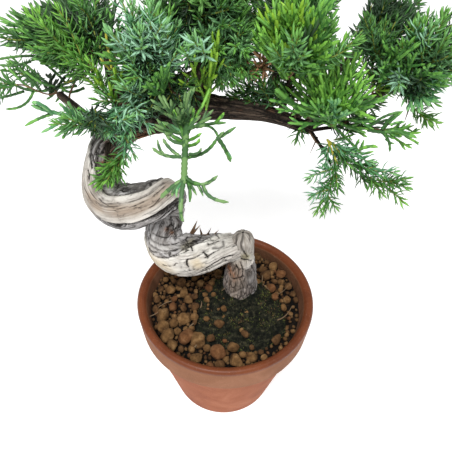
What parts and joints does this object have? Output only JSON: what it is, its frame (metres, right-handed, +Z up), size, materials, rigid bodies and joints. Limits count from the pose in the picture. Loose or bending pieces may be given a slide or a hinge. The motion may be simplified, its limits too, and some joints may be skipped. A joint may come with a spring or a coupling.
{
  "type": "potted chinese juniper bonsai",
  "caption": "Small Chinese juniper trained as a bonsai, with a zigzag trunk of bark and bare deadwood and an open, uneven crown, in a tapering round clay pot with a thick rim.",
  "frame": {"origin": "middle of the plant's box, at the level of the surface that the pot stands on", "axes": "+Z up; +Y from the pictured front to the back, the box's shortest side; +X to the right as seen from the front, the box's longest side"},
  "size_m": [0.2715, 0.1652, 0.2647],
  "materials": {
    "clay": "unglazed terracotta, matt on the wall and darker with a slight sheen on the rim",
    "grains": "rounded grains of baked clay, dull",
    "moss": "soft dark green moss",
    "bark": "flaky grey-brown bark",
    "deadwood": "bare, pale, weathered wood with flowing grain",
    "leaf_green": "fresh green needles and scale shoots, slightly waxy",
    "leaf_blue": "blue-green needles with a waxy bloom",
    "leaf_dark": "dark green scale shoots"
  },
  "bodies": {
    "root": {"pot": "clay", "soil": "grains", "moss": "moss", "trunk_foot": "bark", "trunk_lower_arm": "deadwood", "trunk_neck": "bark", "trunk_upper_arm": "deadwood", "trunk_rise": "bark", "trunk_top": "bark", "bough_right": "bark", "bough_right_far": "bark", "bough_droop": "bark", "bough_droop_outer": "bark", "bough_right_low": "bark", "bough_right_front": "bark", "bough_right_rear": "bark", "bough_right_back": "bark", "bough_right_high": "bark", "bough_middle": "bark", "bough_back": "bark", "bough_centre_left": "bark", "bough_left": "bark", "bough_left_back": "bark", "bough_left_low": "bark", "bough_left_front": "bark", "bough_left_hanging": "bark", "bough_front": "bark", "foliage_left_low": "leaf_dark", "foliage_left_front": "leaf_blue", "foliage_left_hanging": "leaf_green", "foliage_left_high": "leaf_green", "foliage_left_back": "leaf_dark", "foliage_centre_left": "leaf_blue", "foliage_centre": "leaf_green", "foliage_front": "leaf_green", "foliage_top": "leaf_green", "foliage_back_left": "leaf_dark", "foliage_back_right": "leaf_dark", "foliage_right_high": "leaf_green", "foliage_right_front": "leaf_green", "foliage_right_far": "leaf_blue", "foliage_right_back": "leaf_dark", "foliage_right_low": "leaf_green", "foliage_droop_inner": "leaf_green", "foliage_droop_outer": "leaf_green"}
  },
  "joints": []
}
